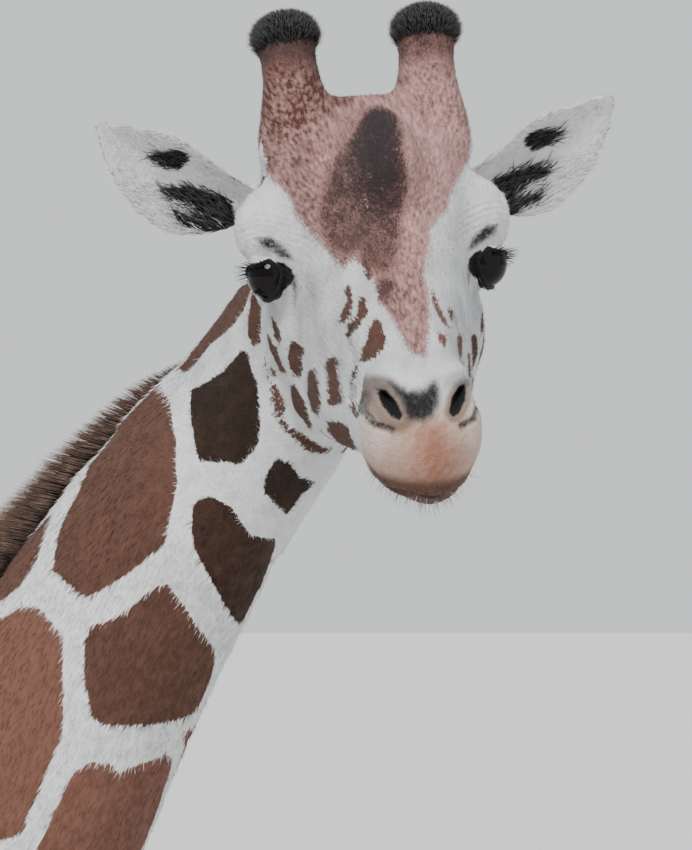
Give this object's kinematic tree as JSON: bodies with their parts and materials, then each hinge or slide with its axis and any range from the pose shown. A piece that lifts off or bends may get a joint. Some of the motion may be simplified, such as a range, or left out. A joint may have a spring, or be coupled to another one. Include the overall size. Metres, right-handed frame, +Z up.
{
  "type": "giraffe",
  "caption": "Standing life-size giraffe with a patched coat, short brown mane, hair-capped horns and tufted tail, its neck rising forward and its head turned to its right.",
  "frame": {"origin": "on the ground under the middle of the outline", "axes": "+Z up, +X the way the body faces, +Y to the animal's left"},
  "size_m": [2.9996, 0.8086, 4.325],
  "materials": {
    "patched_coat": "short fur, brown patches on white",
    "pale_coat": "short pale fur",
    "mane_hair": "stiff brown hair",
    "black_hair": "coarse black hair",
    "hoof": "satin dark horn",
    "eye": "wet gloss"
  },
  "bodies": {
    "root": {"eye_left": "eye", "ear_left": "pale_coat", "ossicone_left": "patched_coat", "ossicone_tuft_left": "black_hair", "eye_right": "eye", "ear_right": "pale_coat", "ossicone_right": "patched_coat", "ossicone_tuft_right": "black_hair", "head": "pale_coat", "neck_upper": "patched_coat", "neck_middle": "patched_coat", "neck_lower": "patched_coat", "forequarters": "patched_coat", "barrel": "patched_coat", "hindquarters": "patched_coat", "leg_fore_left_upper": "patched_coat", "leg_fore_left_lower": "patched_coat", "hoof_fore_left_inner": "hoof", "hoof_fore_left_outer": "hoof", "leg_fore_right_upper": "patched_coat", "leg_fore_right_lower": "patched_coat", "hoof_fore_right_inner": "hoof", "hoof_fore_right_outer": "hoof", "leg_hind_left_upper": "patched_coat", "leg_hind_left_lower": "patched_coat", "hoof_hind_left_inner": "hoof", "hoof_hind_left_outer": "hoof", "leg_hind_right_upper": "patched_coat", "leg_hind_right_lower": "patched_coat", "hoof_hind_right_inner": "hoof", "hoof_hind_right_outer": "hoof", "mane": "mane_hair", "tail": "patched_coat", "tail_tuft": "black_hair"}
  },
  "joints": []
}
